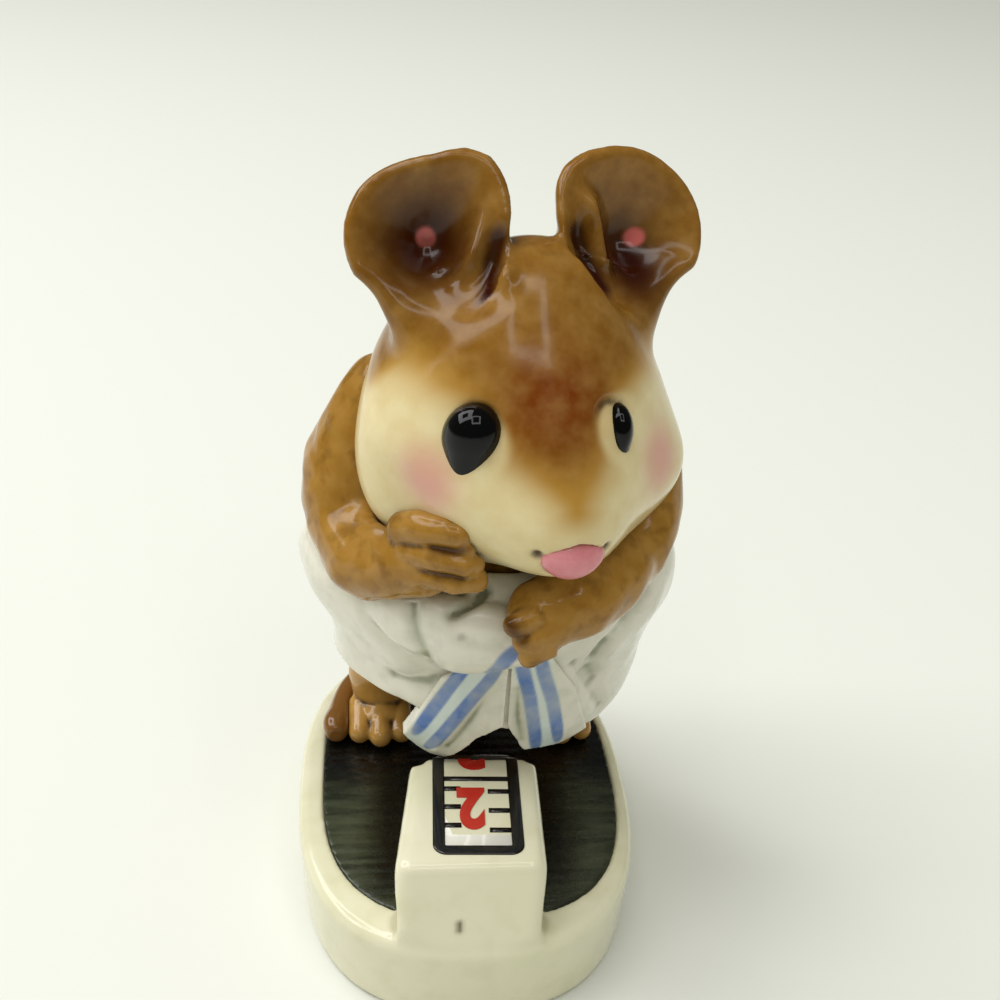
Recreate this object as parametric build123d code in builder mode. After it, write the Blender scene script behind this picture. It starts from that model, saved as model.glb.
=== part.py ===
from build123d import *
from math import asin, atan2, copysign, cos, pi, radians, sin
import os

# Glazed ceramic mouse wrapped in a towel, standing on a bathroom scale and bending to read its dial.
# Millimetres. The origin is the middle of the scale's underside, +Z is up and the mouse faces -Y.
# Right and left are the mouse's own: its right side lies towards -X.

# Sizes of the bathroom scale
plinth_width = 27.0
plinth_length = 37.5
plinth_height = 7.0
plinth_foot_inset = 0.45
plinth_top_round = 0.9
plinth_foot_round = 0.35
plan_squareness_share = 2.6
mat_side_rim = 1.6
mat_end_rim = 2.45
mat_squareness_share = 2.8
mat_shift_x = 0.4
mat_shift_y = 0.9
mat_thickness = 0.7
mat_sink = 0.12
rib_pitch = 1.1
rib_groove_width = 0.35
rib_groove_depth = 0.18

# Sizes of the dial housing and its window
hump_front_width = 11.4
hump_back_width = 10.1
hump_front_shift = -0.7
hump_back_shift = 0.3
hump_draft = 3.0
hump_length = 14.25
hump_brow_setback = 2.45
hump_back_height = 13.2
hump_brow_height = 13.0
hump_edge_round = 0.9
window_width = 6.4
window_length = 10.0
window_corner = 0.9
window_depth = 0.6
window_brow_margin = 1.1
window_shift = 0.2
window_turn = -2.0
bezel_band = 0.65
bezel_proud = 0.12
card_thickness = 0.45

# Sizes of the whole figure, which the tables of shares follow
figure_x = 1.2
figure_half_width = 14.0
figure_half_depth = 12.0
figure_height = 50.0

# Torso and towel, from the bottom up: height, half width, half depth, shift to +X, shift to +Y
torso_shares = [
    (0.099, 0.357, 0.350, 0.000, 0.550),
    (0.115, 0.543, 0.517, 0.000, 0.533),
    (0.153, 0.671, 0.633, 0.000, 0.500),
    (0.223, 0.721, 0.733, 0.000, 0.450),
    (0.343, 0.800, 0.800, 0.014, 0.350),
    (0.463, 0.829, 0.783, 0.014, 0.250),
    (0.563, 0.729, 0.683, 0.029, 0.150),
    (0.643, 0.571, 0.567, 0.057, 0.067),
    (0.713, 0.371, 0.417, 0.086, 0.000),
]
towel_shares = [
    (0.020, 0.700, 0.750, 0.014, 0.400),
    (0.143, 0.770, 0.817, 0.025, 0.350),
    (0.263, 0.880, 0.908, 0.036, 0.300),
    (0.363, 0.985, 0.950, 0.036, 0.250),
    (0.433, 1.025, 0.940, 0.007, 0.200),
    (0.473, 0.930, 0.850, 0.000, 0.170),
    (0.490, 0.800, 0.740, 0.000, 0.150),
]
hem_shares = [(-0.78, 0.17, 0.233), (0.74, 0.0, 0.133), (0.0, 1.0, 0.133)]
towel_end_proud = 0.5
towel_end_thickness = 1.3

# Outlines of the two hanging ends, seen from the front: across and up
end_right_shares = [
    (0.07, 0.400),
    (-0.27, 0.318),
    (-0.46, 0.181),
    (-0.31, 0.131),
    (-0.22, 0.129),
    (-0.07, 0.201),
    (0.07, 0.227),
]
end_left_shares = [
    (0.08, 0.400),
    (0.09, 0.227),
    (0.19, 0.165),
    (0.41, 0.157),
    (0.56, 0.173),
    (0.45, 0.283),
    (0.24, 0.393),
]
fold_path_shares = [
    (-0.643, -0.450, 0.443),
    (-0.336, -0.717, 0.425),
    (-0.050, -0.783, 0.413),
    (0.243, -0.750, 0.403),
]
fold_radius_shares = (0.4, 0.8, 1.0, 0.85, 0.5)
fold_half_height = 3.0
fold_flatness_share = 0.6

# Head, from the back to the face: reach, half width, height above and depth below its axis, and jowl
head_x = 2.5
head_y = -1.9
head_z = 43.1
head_turn = 13.0
head_nod = 27.0
head_tilt = 3.0
head_back_reach = 9.6
head_face_reach = 14.0
head_half_width = 10.9
head_rise = 9.8
head_drop = 10.2
head_squareness_share = 2.15
head_jowl_share = 0.36
head_shares = [
    (-1.00, 0.16, 0.18, 0.18, 0.0),
    (-0.90, 0.44, 0.46, 0.44, 0.2),
    (-0.60, 0.78, 0.84, 0.78, 0.4),
    (-0.15, 0.95, 1.00, 0.98, 0.7),
    (0.18, 0.99, 0.93, 1.02, 1.0),
    (0.40, 0.92, 0.78, 0.98, 1.2),
    (0.62, 0.70, 0.57, 0.78, 1.0),
    (0.82, 0.44, 0.39, 0.50, 0.5),
    (0.95, 0.24, 0.24, 0.28, 0.2),
    (1.00, 0.10, 0.12, 0.12, 0.0),
]
neck_foot_shares = (0.057, 0.05, 0.46)
neck_peg_radius = 2.2
neck_peg_length = 11.0

# Ears, eyes and nose, placed in the head's own frame
ear_radius = 5.7
ear_depth = 4.6
ear_wall = 1.6
ear_spread = 7.3
ear_rise = 9.5
ear_set_back = 5.3
ear_heading = 7.0
ear_turn_out = 13.0
ear_lean_back = 26.0
ear_stem_half_width = 2.9
ear_stem_half_depth = 1.9
ear_stem_length = 8.0
ear_stem_foot_share = 0.7
eye_radius = 1.8
eye_height = 5.0
eye_tip_radius = 0.7
eye_right_seat = (-5.4, 3.4, 6.4)
eye_left_seat = (3.0, 4.6, 7.4)
eye_turn_out = 55.0
eye_look_up = 34.0
nose_radius = 1.9
nose_dome = 1.1
nose_seat = 1.2
nose_drop = 0.3
nose_ahead = 13.6

# Limbs and tail: places across, along and up
arm_right_shares = [
    (-0.470, 0.208, 0.640),
    (-0.690, 0.100, 0.585),
    (-0.715, -0.117, 0.522),
    (-0.590, -0.450, 0.513),
    (-0.400, -0.683, 0.535),
    (-0.271, -0.775, 0.555),
    (-0.171, -0.808, 0.563),
]
arm_left_shares = [
    (0.560, 0.208, 0.620),
    (0.680, 0.050, 0.570),
    (0.685, -0.200, 0.515),
    (0.590, -0.550, 0.495),
    (0.371, -0.767, 0.478),
    (0.200, -0.842, 0.461),
    (0.107, -0.858, 0.449),
]
arm_radius_shares = (0.50, 0.92, 1.0, 0.96, 0.82, 0.72, 0.70, 0.72, 0.66, 0.40)
arm_radius = 3.9
finger_radius = 0.85
finger_length = 2.6
finger_count = 3
finger_spread = 1.35
finger_back = 1.6
finger_proud = 1.7
foot_right_shares = (-0.571, 0.43)
foot_left_shares = (0.529, 0.43)
foot_half_width = 2.7
foot_length = 9.0
foot_height = 3.4
foot_squareness_share = 2.3
foot_shares = [
    (-0.02, 0.55, 0.42),
    (0.06, 0.90, 0.68),
    (0.30, 1.00, 0.88),
    (0.62, 0.90, 1.00),
    (0.90, 0.66, 0.80),
    (1.00, 0.35, 0.40),
]
leg_radius = 3.3
leg_height = 11.0
leg_back = 3.6
leg_lean = 0.8
leg_shares = [(0.0, 0.62), (0.3, 0.78), (0.65, 0.95), (1.0, 1.0)]
toe_radius = 0.95
toe_length = 3.4
toe_count = 3
toe_set_back_share = 0.6
toe_rise = 0.9
tail_path_shares = [
    (0.050, 0.760, 0.170),
    (0.000, 1.120, 0.080),
    (-0.280, 1.200, 0.030),
    (-0.600, 1.080, 0.028),
    (-0.780, 0.800, 0.026),
    (-0.829, 0.550, 0.022),
    (-0.843, 0.367, 0.020),
]
tail_radius_shares = (1.1, 1.05, 1.0, 0.95, 0.9, 0.85, 0.85, 0.8, 0.8, 0.55)
tail_radius = 1.3

overrun = 5.0
ring_points = 10
plan_points = 20


def oval(plane, side, rise, drop, squareness_share=2.0, jowl_share=0.0, point_count=ring_points):
    """Closed outline on a plane with its own reach up and down, let out below by the jowl share."""
    points = []
    for step in range(point_count):
        angle = 2 * pi * step / point_count
        across = copysign(abs(cos(angle)) ** (2 / squareness_share), cos(angle))
        along = copysign(abs(sin(angle)) ** (2 / squareness_share), sin(angle))
        points.append((side * across * (1 - jowl_share * along), (rise if along > 0 else drop) * along))
    with BuildSketch(plane) as outline:
        with BuildLine():
            Spline(*points, periodic=True)
        make_face()
    return outline.sketch


def figure_point(across_share, along_share, up_share):
    """Place on the figure from shares of its own sizes."""
    return Vector(
        figure_x + across_share * figure_half_width,
        along_share * figure_half_depth,
        mat_top + up_share * figure_height,
    )


def stacked(shares, growth=0):
    """Level outlines of the torso or the towel, let out by the growth."""
    outlines = []
    for up, half_width, half_depth, across, along in shares:
        level = Plane(origin=figure_point(across, along, up))
        side = half_width * figure_half_width + growth
        depth = half_depth * figure_half_depth + growth
        outlines.append(oval(level, side, depth, depth))
    return outlines


def along_path(path_shares, radii, flatness_share=1.0, hinge=(0, 0, 1)):
    """Outlines across a smooth path that turns about the hinge, one for each radius."""
    path = Spline(*[figure_point(*place) for place in path_shares])
    outlines = []
    for number, radius in enumerate(radii):
        station_share = number / (len(radii) - 1)
        heading = path % station_share
        plane = Plane(origin=path @ station_share, x_dir=Vector(*hinge).cross(heading), z_dir=heading)
        outlines.append(oval(plane, radius * flatness_share, radius, radius))
    return outlines


def bead(radius, height, tip_radius):
    """Drop about the Y axis: a large ball above, a small one below and the cone that joins them."""
    ball_rise = height / 2 - radius
    tip_drop = height / 2 - tip_radius
    slope = asin((radius - tip_radius) / (ball_rise + tip_drop))
    with BuildPart() as shape:
        with BuildSketch(Plane.XY):
            with BuildLine():
                ball = RadiusArc(
                    (0, height / 2),
                    (radius * cos(slope), ball_rise - radius * sin(slope)),
                    radius,
                )
                side = Line(ball @ 1, (tip_radius * cos(slope), -tip_drop - tip_radius * sin(slope)))
                tip = RadiusArc(side @ 1, (0, -height / 2), tip_radius)
                Line(tip @ 1, ball @ 0)
            make_face()
        revolve(axis=Axis.Y)
    return shape.part


def whole(solid_group):
    """The main solid, without the crumbs that a cut leaves behind."""
    return solid_group.solids().sort_by(SortBy.VOLUME)[-1]


def capsule(radius, length):
    """Round-ended peg along Z from the origin."""
    with BuildPart() as peg:
        with BuildSketch(Plane.XZ):
            with BuildLine():
                side = Polyline((0, 0), (radius, 0), (radius, length - radius))
                end = RadiusArc(side @ 1, (0, length), -radius)
                Line(end @ 1, (0, 0))
            make_face()
        revolve(axis=Axis.Z)
    return peg.part


mat_top = plinth_height - mat_sink
mat_floor = mat_top - mat_thickness
turn = radians(head_turn)
nod = radians(head_nod)
tilt = radians(head_tilt)
face_direction = Vector(sin(turn) * cos(nod), -cos(turn) * cos(nod), -sin(nod))
level_side = Vector(cos(turn), sin(turn), 0)
head_plane = Plane(
    origin=(head_x, head_y, head_z),
    x_dir=level_side * cos(tilt) - face_direction.cross(level_side) * sin(tilt),
    z_dir=face_direction,
)


def on_head(side, up, ahead):
    """Place in the head's own frame: X to the mouse's left, Y through the crown, Z to the nose."""
    return head_plane.from_local_coords(Vector(side, up, ahead))


def plinth_outline(height, inset):
    """Rounded-oval plan of the scale at a height."""
    side = plinth_width / 2 - inset
    length = plinth_length / 2 - inset
    return oval(Plane.XY.offset(height), side, length, length, plan_squareness_share, 0, plan_points)


hump_brow_y = hump_brow_setback - plinth_length / 2
hump_back_y = hump_length - plinth_length / 2

# Dial housing: a drafted block that rises from the front wall to a brow and runs back nearly level
brow_slope = atan2(hump_back_height - hump_brow_height, hump_back_y - hump_brow_y)
dial_plane = Plane(
    origin=(window_shift, hump_brow_y, hump_brow_height),
    x_dir=(1, 0, 0),
    z_dir=(0, -sin(brow_slope), cos(brow_slope)),
)
window_middle = window_brow_margin + window_length / 2

with BuildPart() as hump:
    with BuildSketch(Plane.XY):
        with BuildLine():
            Polyline(
                (hump_front_shift - hump_front_width / 2, -plinth_length / 2),
                (hump_front_shift + hump_front_width / 2, -plinth_length / 2),
                (hump_back_shift + hump_back_width / 2, hump_back_y),
                (hump_back_shift - hump_back_width / 2, hump_back_y),
                close=True,
            )
        make_face()
    extrude(amount=hump_back_height + overrun, taper=hump_draft)
    with BuildSketch(Plane.YZ):
        with BuildLine():
            Polyline(
                (-plinth_length / 2 + plinth_foot_inset, 0),
                (-plinth_length / 2, plinth_height - plinth_top_round),
                (hump_brow_y, hump_brow_height),
                (hump_back_y, hump_back_height),
                (hump_back_y, 0),
                close=True,
            )
        make_face()
    extrude(amount=hump_front_width, both=True, mode=Mode.INTERSECT)
    fillet(hump.edges().filter_by(lambda edge: edge.center().Z > plinth_height), hump_edge_round)
    loft(
        sections=[plinth_outline(0, plinth_foot_inset), plinth_outline(hump_back_height + overrun, 0)],
        ruled=True,
        mode=Mode.INTERSECT,
    )

# Standing mat: a ribbed sheet that fills its pocket and parts round the dial housing
mat_width = plinth_width - 2 * mat_side_rim
mat_length = plinth_length - 2 * mat_end_rim
mat_reach = mat_length / 2
mat_outline = oval(Plane.XY, mat_width / 2, mat_reach, mat_reach, mat_squareness_share, 0, plan_points)
with BuildPart() as tread_mat:
    with BuildSketch(Plane((mat_shift_x, mat_shift_y, mat_floor))):
        add(mat_outline)
    extrude(amount=mat_thickness)
    add(hump.part, mode=Mode.SUBTRACT)
    with BuildSketch(Plane((mat_shift_x, mat_shift_y, mat_top))):
        with GridLocations(0, rib_pitch, 1, int(mat_length / rib_pitch) - 1):
            Rectangle(mat_width, rib_groove_width)
    extrude(amount=-rib_groove_depth, mode=Mode.SUBTRACT)

# Scale casting with its mat pocket, dial housing and dial window
with BuildPart() as scale_body:
    loft(sections=[plinth_outline(0, plinth_foot_inset), plinth_outline(plinth_height, 0)], ruled=True)
    fillet(scale_body.faces().sort_by(Axis.Z)[-1].edges(), plinth_top_round)
    fillet(scale_body.faces().sort_by(Axis.Z)[0].edges(), plinth_foot_round)
    with BuildSketch(Plane((mat_shift_x, mat_shift_y, mat_floor))):
        add(mat_outline)
    extrude(amount=overrun, mode=Mode.SUBTRACT)
    add(hump.part)
    with BuildSketch(dial_plane.offset(-window_depth)):
        with Locations((0, window_middle)):
            RectangleRounded(window_width, window_length, window_corner, rotation=window_turn)
    extrude(amount=overrun, mode=Mode.SUBTRACT)

with BuildPart() as dial_bezel:
    with BuildSketch(dial_plane.offset(-window_depth)):
        with Locations((0, window_middle)):
            RectangleRounded(window_width, window_length, window_corner, rotation=window_turn)
            RectangleRounded(
                window_width - 2 * bezel_band,
                window_length - 2 * bezel_band,
                window_corner - bezel_band / 2,
                rotation=window_turn,
                mode=Mode.SUBTRACT,
            )
    extrude(amount=window_depth + bezel_proud)

with BuildPart() as dial_card:
    with BuildSketch(dial_plane.offset(-window_depth)):
        with Locations((0, window_middle)):
            RectangleRounded(
                window_width - 2 * bezel_band,
                window_length - 2 * bezel_band,
                window_corner - bezel_band / 2,
                rotation=window_turn,
            )
    extrude(amount=card_thickness)

# Head blank, before anything is set into it
with BuildPart() as head_blank:
    loft(
        sections=[
            oval(
                head_plane.offset(reach * (head_face_reach if reach > 0 else head_back_reach)),
                side * head_half_width,
                rise * head_rise,
                drop * head_drop,
                head_squareness_share,
                jowl * head_jowl_share,
            )
            for reach, side, rise, drop, jowl in head_shares
        ]
    )

# Core of the body, with a peg that holds the head
neck_foot = figure_point(*neck_foot_shares)
neck_axis = Plane(origin=neck_foot, z_dir=Vector(*head_plane.origin) - neck_foot)
with BuildPart() as torso:
    loft(sections=stacked(torso_shares))
    add(head_blank.part, mode=Mode.SUBTRACT)
    with BuildSketch(neck_axis):
        Circle(neck_peg_radius)
    extrude(amount=neck_peg_length)

# Feet stand on the mat and carry the legs up to the body
feet = []
for toe_lean, (across, along) in ((1, foot_right_shares), (-1, foot_left_shares)):
    ball = Vector(figure_x + across * figure_half_width, along * figure_half_depth, mat_top)
    with BuildPart() as foot:
        loft(
            sections=[
                oval(
                    Plane(origin=ball + Vector(0, reach * foot_length, 0), x_dir=(1, 0, 0), z_dir=(0, 1, 0)),
                    side * foot_half_width,
                    rise * foot_height,
                    rise * foot_height,
                    foot_squareness_share,
                )
                for reach, side, rise in foot_shares
            ]
        )
        loft(
            sections=[
                oval(
                    Plane(origin=ball + Vector(0, leg_back + up * leg_lean, up * leg_height)),
                    side * leg_radius,
                    side * leg_radius,
                    side * leg_radius,
                )
                for up, side in leg_shares
            ]
        )
        for number in range(toe_count):
            offset_share = 2 * number / (toe_count - 1) - 1
            toe_tip = ball + Vector(
                offset_share * (foot_half_width - toe_radius),
                -toe_radius * (1 - abs(offset_share) * toe_set_back_share),
                toe_radius,
            )
            toe_root = toe_tip + Vector(0, toe_length, toe_rise)
            with Locations(Plane(origin=toe_root, z_dir=toe_tip - toe_root)):
                add(capsule(toe_radius, toe_length + toe_radius))
        split(bisect_by=Plane.XY.offset(mat_top), keep=Keep.TOP)
        add(torso.part, mode=Mode.SUBTRACT)
    feet.append(foot)
foot_right, foot_left = feet

# Tail: springs from the body under the hem and lies on the mat round the right foot
with BuildPart() as tail:
    loft(sections=along_path(tail_path_shares, [share * tail_radius for share in tail_radius_shares]))
    split(bisect_by=Plane.XY.offset(mat_top), keep=Keep.TOP)
    add(foot_right.part, mode=Mode.SUBTRACT)
    add(torso.part, mode=Mode.SUBTRACT)

# Arms reach forward over the towel and end in paws with folded fingers
arms = []
for path_shares in (arm_right_shares, arm_left_shares):
    with BuildPart() as arm:
        radii = [share * arm_radius for share in arm_radius_shares]
        loft(sections=along_path(path_shares, radii, hinge=(1, 0, 0)))
        fingertip = figure_point(*path_shares[-1])
        reach = (fingertip - figure_point(*path_shares[-2])).normalized()
        paw_plane = Plane(origin=fingertip - reach * finger_back, x_dir=reach, z_dir=Vector(0, -1, 0))
        for number in range(finger_count):
            offset_share = 2 * number / (finger_count - 1) - 1
            knuckle = paw_plane.from_local_coords(Vector(0, offset_share * finger_spread, finger_proud))
            with Locations(Plane(origin=knuckle, x_dir=paw_plane.y_dir, z_dir=reach)):
                add(capsule(finger_radius, finger_length))
        add(torso.part, mode=Mode.SUBTRACT)
        add(head_blank.part, mode=Mode.SUBTRACT)
    arms.append(arm)
arm_right, arm_left = arms

# Towel: wound round the body below the arms, its hem cut on a slant
hem_plane = Plane(
    (figure_point(*hem_shares[0]) + figure_point(*hem_shares[1])) / 2,
    x_dir=figure_point(*hem_shares[1]) - figure_point(*hem_shares[0]),
    z_dir=(figure_point(*hem_shares[1]) - figure_point(*hem_shares[0])).cross(
        figure_point(*hem_shares[2]) - figure_point(*hem_shares[0])
    ),
)
with BuildPart() as towel_wrap:
    loft(sections=stacked(towel_shares))
    split(bisect_by=hem_plane, keep=Keep.TOP)
    for neighbour in (torso, head_blank, arm_right, arm_left, foot_right, foot_left):
        add(neighbour.part, mode=Mode.SUBTRACT)

# Rolled upper edge of the towel across the chest
with BuildPart() as towel_fold:
    loft(
        sections=along_path(
            fold_path_shares, [share * fold_half_height for share in fold_radius_shares], fold_flatness_share
        )
    )
    for neighbour in (torso, head_blank, towel_wrap, arm_right, arm_left):
        add(neighbour.part, mode=Mode.SUBTRACT)

# Hanging ends: two corners of the towel that leave the left paw and lie over the wrap
ends = []
for outline_shares in (end_right_shares, end_left_shares):
    with BuildPart() as towel_end:
        with BuildSketch(Plane.XZ):
            with BuildLine():
                Polyline(
                    *[
                        (figure_x + across * figure_half_width, mat_top + up * figure_height)
                        for across, up in outline_shares
                    ],
                    close=True,
                )
            make_face()
        extrude(amount=figure_half_depth + overrun)
        loft(sections=stacked(towel_shares, towel_end_proud), mode=Mode.INTERSECT)
        loft(sections=stacked(towel_shares, towel_end_proud - towel_end_thickness), mode=Mode.SUBTRACT)
        for neighbour in (torso, head_blank, towel_wrap, arm_left, towel_fold, scale_body):
            add(neighbour.part, mode=Mode.SUBTRACT)
    ends.append(towel_end)
towel_end_right, towel_end_left = ends

# Ears: cupped bowls on stems that are let into the head
ears = []
cups = []
for hand in (-1, 1):
    seat = on_head(hand * ear_spread, ear_rise, -ear_set_back)
    heading = radians(ear_heading + hand * ear_turn_out)
    lean = radians(ear_lean_back)
    face = Vector(sin(heading) * cos(lean), -cos(heading) * cos(lean), sin(lean))
    ear_plane = Plane(origin=seat, x_dir=Vector(0, 0, 1).cross(face), z_dir=face)
    lip = ear_wall / 2
    with BuildPart() as bowl:
        with BuildSketch(Plane.XZ):
            with BuildLine():
                back = TangentArc((0, -ear_depth), (ear_radius, -lip), tangent=(1, 0))
                rim = RadiusArc(back @ 1, (ear_radius - lip, 0), -lip)
                Polyline(rim @ 1, (0, 0), (0, -ear_depth))
            make_face()
        revolve(axis=Axis.Z)
    with BuildPart() as hollow:
        with BuildSketch(Plane.XZ):
            with BuildLine():
                floor = TangentArc(
                    (0, -ear_depth + ear_wall), (ear_radius - ear_wall, -lip), tangent=(1, 0)
                )
                rim = RadiusArc(floor @ 1, (ear_radius - lip, 0), lip)
                Polyline(rim @ 1, (ear_radius - lip, overrun), (0, overrun), (0, -ear_depth + ear_wall))
            make_face()
        revolve(axis=Axis.Z)
    with BuildPart() as ear:
        with Locations(ear_plane.location):
            add(bowl.part)
        stem_top = ear_plane.from_local_coords(Vector(0, -ear_radius / 2, -ear_depth / 2))
        stem_foot = stem_top + (Vector(*head_plane.origin) - stem_top).normalized() * ear_stem_length
        stem_side = ear_plane.x_dir
        stem_run = stem_foot - stem_top
        loft(
            sections=[
                oval(
                    Plane(origin=place, x_dir=stem_side, z_dir=stem_run),
                    share * ear_stem_half_width,
                    share * ear_stem_half_depth,
                    share * ear_stem_half_depth,
                )
                for place, share in ((stem_top, 1), (stem_foot, ear_stem_foot_share))
            ]
        )
        with Locations(ear_plane.location):
            add(hollow.part, mode=Mode.SUBTRACT)
    with BuildPart() as cup:
        with Locations(ear_plane.location):
            add(hollow.part)
    ears.append(ear)
    cups.append(cup)
ear_right, ear_left = ears

# Eyes and nose: glazed beads seated in the face
eyes = []
for hand, seat_place in ((-1, eye_right_seat), (1, eye_left_seat)):
    seat = on_head(*seat_place)
    turn_out = radians(eye_turn_out)
    look_up = radians(eye_look_up)
    outward = Vector(hand * sin(turn_out) * cos(look_up), sin(look_up), cos(turn_out) * cos(look_up))
    gaze = head_plane.from_local_coords(outward) - head_plane.origin
    with BuildPart() as eye:
        with Locations(Plane(origin=seat, x_dir=Vector(0, 0, 1).cross(gaze), z_dir=gaze).location):
            add(bead(eye_radius, eye_height, eye_tip_radius))
    eyes.append(eye)
eye_right, eye_left = eyes

with BuildPart() as nose:
    nose_seat_point = on_head(0, -nose_drop, nose_ahead)
    with BuildSketch(Plane(origin=nose_seat_point, x_dir=head_plane.x_dir, z_dir=-head_plane.y_dir)):
        with BuildLine():
            dome = TangentArc((0, nose_dome), (nose_radius, 0), tangent=(1, 0))
            Polyline(dome @ 1, (nose_radius, -nose_seat), (0, -nose_seat), dome @ 0)
        make_face()
    revolve(axis=Axis(nose_seat_point, head_plane.z_dir))

# Head: the blank with seats for the ears, the eyes and the nose, and the socket of the neck peg
with BuildPart() as head:
    add(head_blank.part)
    for inset in (ear_right, ear_left, *cups, eye_right, eye_left, nose):
        add(inset.part, mode=Mode.SUBTRACT)
    with BuildSketch(neck_axis):
        Circle(neck_peg_radius)
    extrude(amount=neck_peg_length, mode=Mode.SUBTRACT)

pieces = {
    "scale_body": scale_body,
    "tread_mat": tread_mat,
    "dial_bezel": dial_bezel,
    "dial_card": dial_card,
    "torso": torso,
    "towel_wrap": towel_wrap,
    "towel_fold": towel_fold,
    "towel_end_right": towel_end_right,
    "towel_end_left": towel_end_left,
    "arm_right": arm_right,
    "arm_left": arm_left,
    "head": head,
    "ear_right": ear_right,
    "ear_left": ear_left,
    "eye_right": eye_right,
    "eye_left": eye_left,
    "nose": nose,
    "foot_right": foot_right,
    "foot_left": foot_left,
    "tail": tail,
}
os.makedirs("parts", exist_ok=True)
for name, piece in pieces.items():
    body = whole(piece.part)
    body.label = name
    export_step(body, f"parts/{name}.step")
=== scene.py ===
from math import cos, pi, radians, sin

import bmesh
import bpy
import numpy as np
from mathutils import Matrix, Vector, noise


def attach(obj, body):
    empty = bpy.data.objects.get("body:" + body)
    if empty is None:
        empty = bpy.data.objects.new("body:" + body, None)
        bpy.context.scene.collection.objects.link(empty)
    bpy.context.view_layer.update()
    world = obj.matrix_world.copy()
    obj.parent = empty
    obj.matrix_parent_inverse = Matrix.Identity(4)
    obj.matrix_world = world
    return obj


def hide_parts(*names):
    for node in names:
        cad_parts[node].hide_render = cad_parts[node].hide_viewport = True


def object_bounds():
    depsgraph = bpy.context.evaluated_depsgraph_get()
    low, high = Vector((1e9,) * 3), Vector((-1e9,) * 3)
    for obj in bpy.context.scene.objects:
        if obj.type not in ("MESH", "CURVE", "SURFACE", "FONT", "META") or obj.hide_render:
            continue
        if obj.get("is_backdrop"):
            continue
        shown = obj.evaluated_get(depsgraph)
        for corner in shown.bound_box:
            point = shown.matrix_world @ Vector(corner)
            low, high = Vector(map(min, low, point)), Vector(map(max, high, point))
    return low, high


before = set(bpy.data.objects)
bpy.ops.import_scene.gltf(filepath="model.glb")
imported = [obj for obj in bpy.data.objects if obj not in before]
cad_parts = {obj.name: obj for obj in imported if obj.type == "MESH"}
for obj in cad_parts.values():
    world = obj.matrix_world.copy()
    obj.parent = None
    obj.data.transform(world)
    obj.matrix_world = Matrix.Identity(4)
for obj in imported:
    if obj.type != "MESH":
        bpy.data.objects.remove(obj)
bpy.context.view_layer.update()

# Glazed ceramic mouse wrapped in a bath towel, standing on a bathroom scale and reading its dial.
# Shapes are built in millimetres and turned to metres when they are finished.
# Right and left are the mouse's own: its right side lies towards -X.
MILLIMETRE = 0.001

# The head's own frame, as the head solid has it: X to the mouse's left, Y through the crown, Z to the nose
HEAD_MIDDLE = Vector((2.5, -1.9, 43.1))
HEAD_TURN = radians(13.0)
HEAD_NOD = radians(27.0)
HEAD_TILT = radians(3.0)
FACE_AXIS = Vector((sin(HEAD_TURN) * cos(HEAD_NOD), -cos(HEAD_TURN) * cos(HEAD_NOD), -sin(HEAD_NOD)))
LEVEL_AXIS = Vector((cos(HEAD_TURN), sin(HEAD_TURN), 0))
SIDE_AXIS = LEVEL_AXIS * cos(HEAD_TILT) - FACE_AXIS.cross(LEVEL_AXIS) * sin(HEAD_TILT)
CROWN_AXIS = FACE_AXIS.cross(SIDE_AXIS)
HEAD_AXES = np.array([SIDE_AXIS, CROWN_AXIS, FACE_AXIS])

# Ear cups, in the head's frame, and the way their mouths face
EAR_SPREAD = 7.3
EAR_RISE = 9.5
EAR_SET_BACK = 5.3
EAR_RADIUS = 5.7
EAR_HEADING = radians(7.0)
EAR_TURN_OUT = radians(13.0)
EAR_LEAN = radians(26.0)
EAR_DEPTH = 4.2
# The cup's skin reaches this far across from its middle and this far behind its mouth
EAR_REACH = 7.2
EAR_BACK = -5.6

# The sides of the mouse in the head's frame
RIGHT = -1
LEFT = 1

# The sloping top of the dial housing: the window lies on it, a little turned
BROW = Vector((0.2, -16.3, 13.0))
BROW_RISE = 0.2
BROW_RUN = 11.8
WINDOW_WIDTH = 6.4
WINDOW_LENGTH = 10.0
WINDOW_CORNER = 0.9
WINDOW_MARGIN = 1.1
WINDOW_TURN = radians(-2.0)
WINDOW_OVERHANG = 0.9
POCKET_SPARE = 0.6
POCKET_FILL = 1.6
CARD_TOP = 0.03

# The housing spreads above its shoulder, and its back edge is round
HOUSING_SHOULDER = 7.4
HOUSING_TOP = 12.4
HOUSING_HALF_WIDTH = 7.5
HOUSING_SPREAD = 0.11
HOUSING_EDGE = 10.9
HOUSING_ROUND = 0.9

# The mat's ribs: their height, how deep they go, and the share of it that is worn off
MAT_TOP = 6.88
MAT_RIB = 0.3
MAT_WEAR = 0.65


def glaze_colour(code):
    """Linear colour of an sRGB hex code."""
    parts = [int(code[start:start + 2], 16) / 255 for start in (1, 3, 5)]
    return (*[part / 12.92 if part <= 0.04045 else ((part + 0.055) / 1.055) ** 2.4 for part in parts], 1.0)


def node(tree, kind, links=None, **settings):
    """Adds a node with its settings and its inputs, each a value or the output that feeds it."""
    made = tree.nodes.new(kind)
    for name, value in settings.items():
        setattr(made, name, value)
    for name, value in (links or {}).items():
        if isinstance(value, bpy.types.NodeSocket):
            tree.links.new(value, made.inputs[name])
        else:
            made.inputs[name].default_value = value
    return made


def blended(tree, share, under, over):
    """Colour that goes from under to over as the share goes from 0 to 1."""
    return node(tree, "ShaderNodeMix", {0: share, 6: under, 7: over}, data_type="RGBA").outputs[2]


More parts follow.
